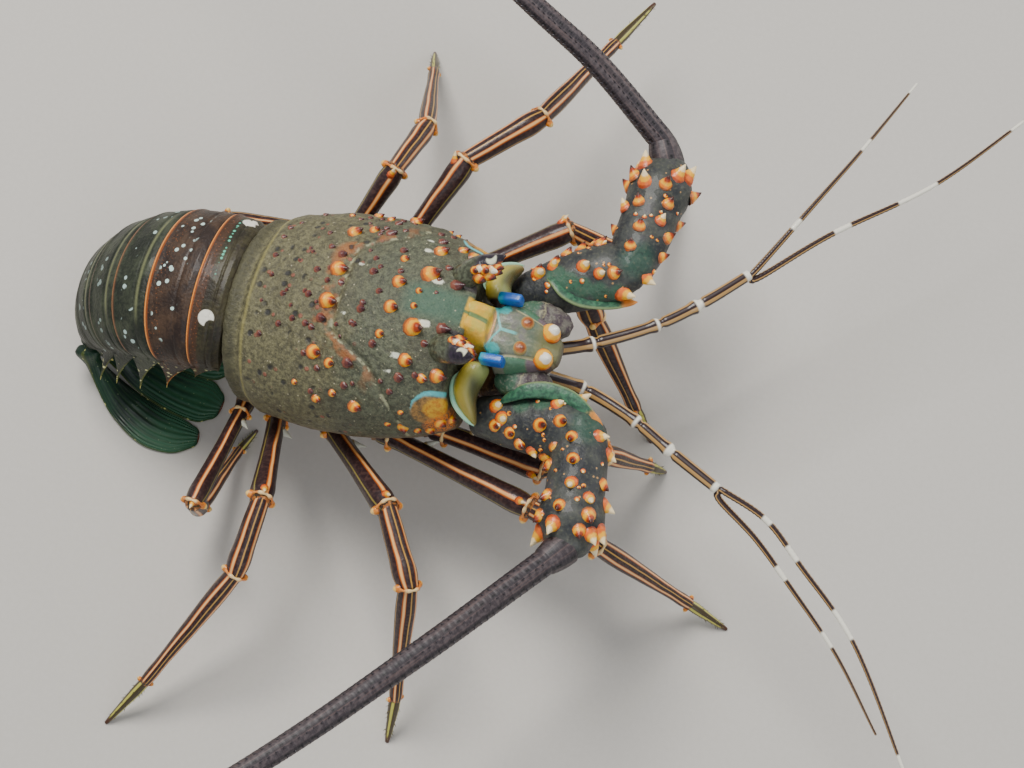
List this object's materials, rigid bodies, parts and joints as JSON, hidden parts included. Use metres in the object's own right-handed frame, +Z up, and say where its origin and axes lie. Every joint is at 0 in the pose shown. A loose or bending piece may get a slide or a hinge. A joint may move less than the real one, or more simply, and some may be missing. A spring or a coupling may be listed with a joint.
{
  "type": "spiny lobster",
  "caption": "Spiny lobster standing on its walking legs, tail curled under with its fan on the floor, and long thick antennae swept out to either side.",
  "frame": {"origin": "centre of the bounding box on the floor, under the middle of the body", "axes": "+X towards the head, +Y towards the animal's left side, +Z up from the floor"},
  "size_m": [0.4238, 0.6228, 0.1507],
  "materials": {
    "shell": "mottled olive shell with dark pits and orange spines",
    "underside": "smooth tan shell of the underside",
    "plate": "green, blue and yellow shell of the head's front",
    "eye": "glossy olive eye",
    "peduncle": "slate shell with green ridges and orange spines",
    "flagellum": "ringed blue-grey whip with dark stripes",
    "antennule": "dark maroon with cream lines and white bands",
    "tail": "dark olive-brown shell with orange edges and white spots",
    "fan": "deep green plate with a spotted yellow-green edge",
    "leg": "maroon shell with cream and orange stripes"
  },
  "bodies": {
    "root": {"abdomen_1": "tail", "abdomen_2": "tail", "abdomen_3": "tail", "abdomen_4": "tail", "abdomen_5": "tail", "abdomen_6": "tail", "antenna_left_arm": "peduncle", "antenna_left_base": "peduncle", "antenna_right_arm": "peduncle", "antenna_right_base": "peduncle", "antennular_plate": "plate", "antennule_left_inner": "antennule", "antennule_left_outer": "antennule", "antennule_left_stalk": "antennule", "antennule_right_inner": "antennule", "antennule_right_outer": "antennule", "antennule_right_stalk": "antennule", "carapace": "shell", "eye_left": "eye", "eye_right": "eye", "flagellum_left_1": "flagellum", "flagellum_left_2": "flagellum", "flagellum_left_3": "flagellum", "flagellum_right_1": "flagellum", "flagellum_right_2": "flagellum", "flagellum_right_3": "flagellum", "leg_left_1_lower": "leg", "leg_left_1_upper": "leg", "leg_left_2_lower": "leg", "leg_left_2_upper": "leg", "leg_left_3_lower": "leg", "leg_left_3_upper": "leg", "leg_left_4_lower": "leg", "leg_left_4_upper": "leg", "leg_left_5_lower": "leg", "leg_left_5_upper": "leg", "leg_right_1_lower": "leg", "leg_right_1_upper": "leg", "leg_right_2_lower": "leg", "leg_right_2_upper": "leg", "leg_right_3_lower": "leg", "leg_right_3_upper": "leg", "leg_right_4_lower": "leg", "leg_right_4_upper": "leg", "leg_right_5_lower": "leg", "leg_right_5_upper": "leg", "maxilliped_left": "leg", "maxilliped_right": "leg", "mouthparts": "underside", "sternum": "underside", "telson": "fan", "uropod_left_inner": "fan", "uropod_left_outer": "fan", "uropod_right_inner": "fan", "uropod_right_outer": "fan"}
  },
  "joints": []
}
